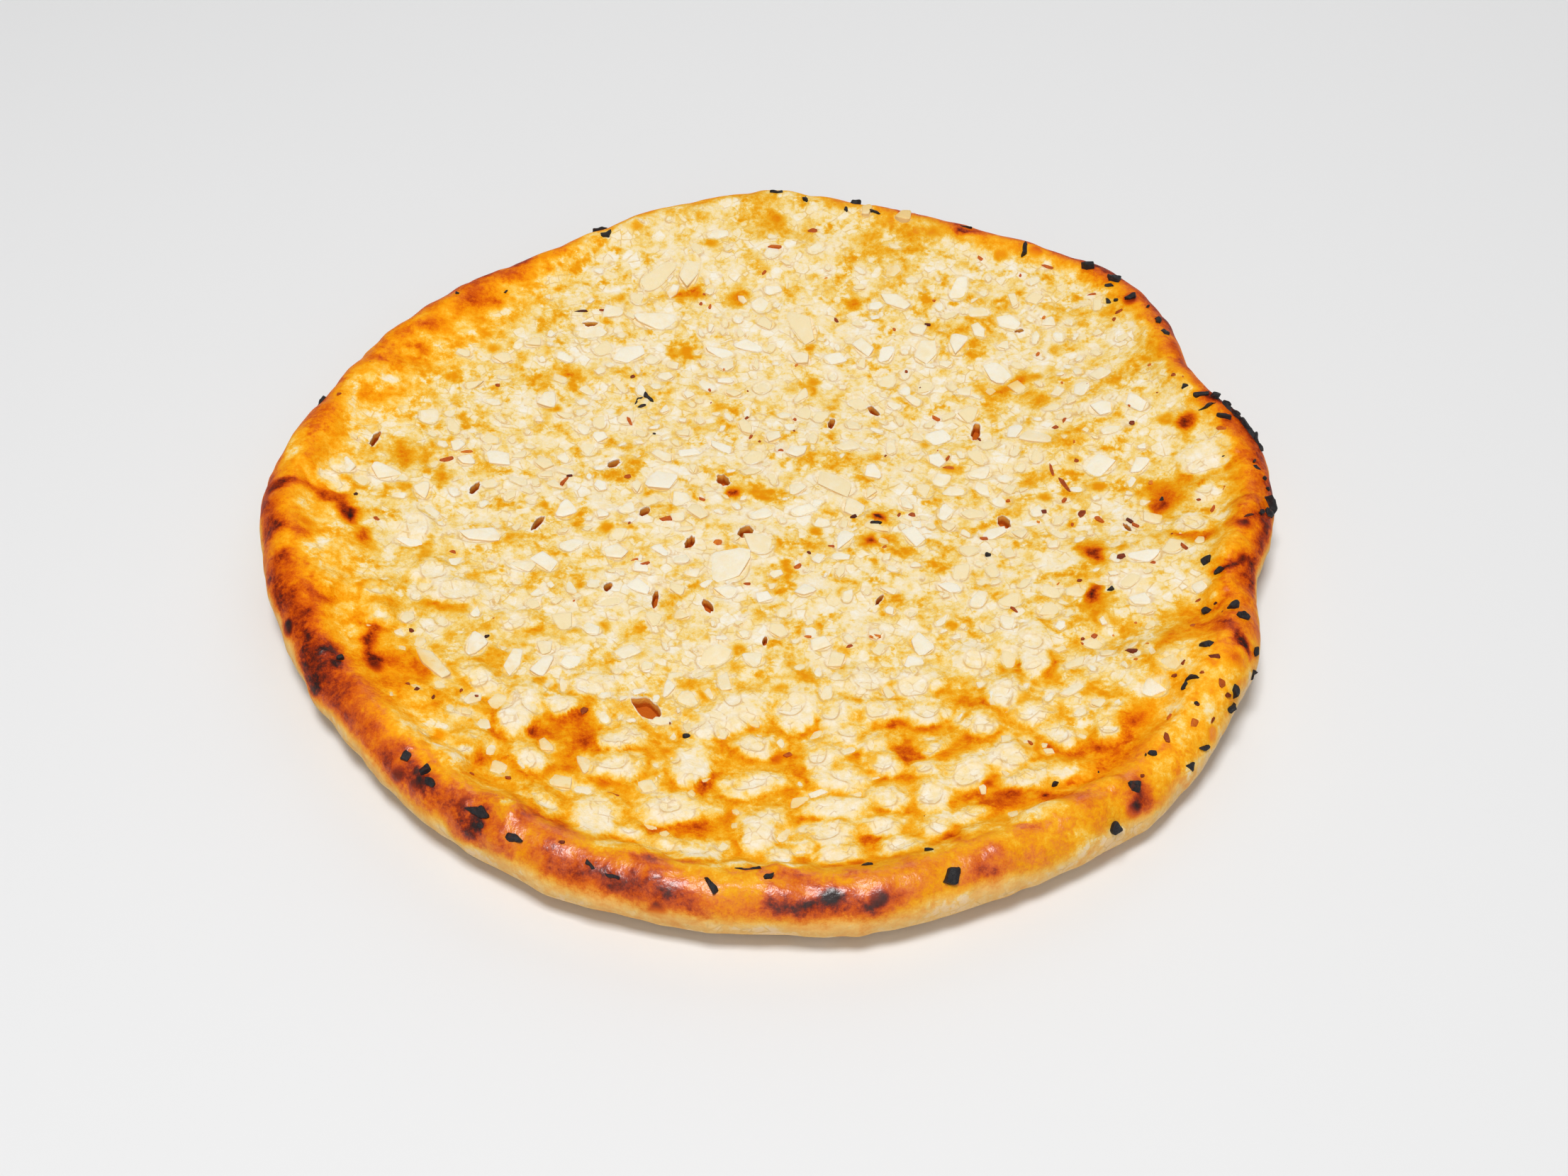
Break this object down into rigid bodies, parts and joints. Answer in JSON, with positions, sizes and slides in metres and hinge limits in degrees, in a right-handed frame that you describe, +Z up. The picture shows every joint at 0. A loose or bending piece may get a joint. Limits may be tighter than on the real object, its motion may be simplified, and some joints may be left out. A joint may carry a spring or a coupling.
{
  "type": "garlic naan",
  "caption": "Round garlic naan flatbread, sagged to a shallow dish, with a puffed and charred rim, garlic chips baked into its top and small torn holes.",
  "frame": {"origin": "on the floor under the middle of the bread", "axes": "+Z up through the bread, +X to the right and -Y to the front as pictured"},
  "size_m": [0.2575, 0.2576, 0.0217],
  "materials": {
    "crust": "satin baked crust",
    "garlic": "moist satin",
    "char": "burnt, slightly glossy"
  },
  "bodies": {
    "root": {"naan": "crust"}
  },
  "joints": []
}
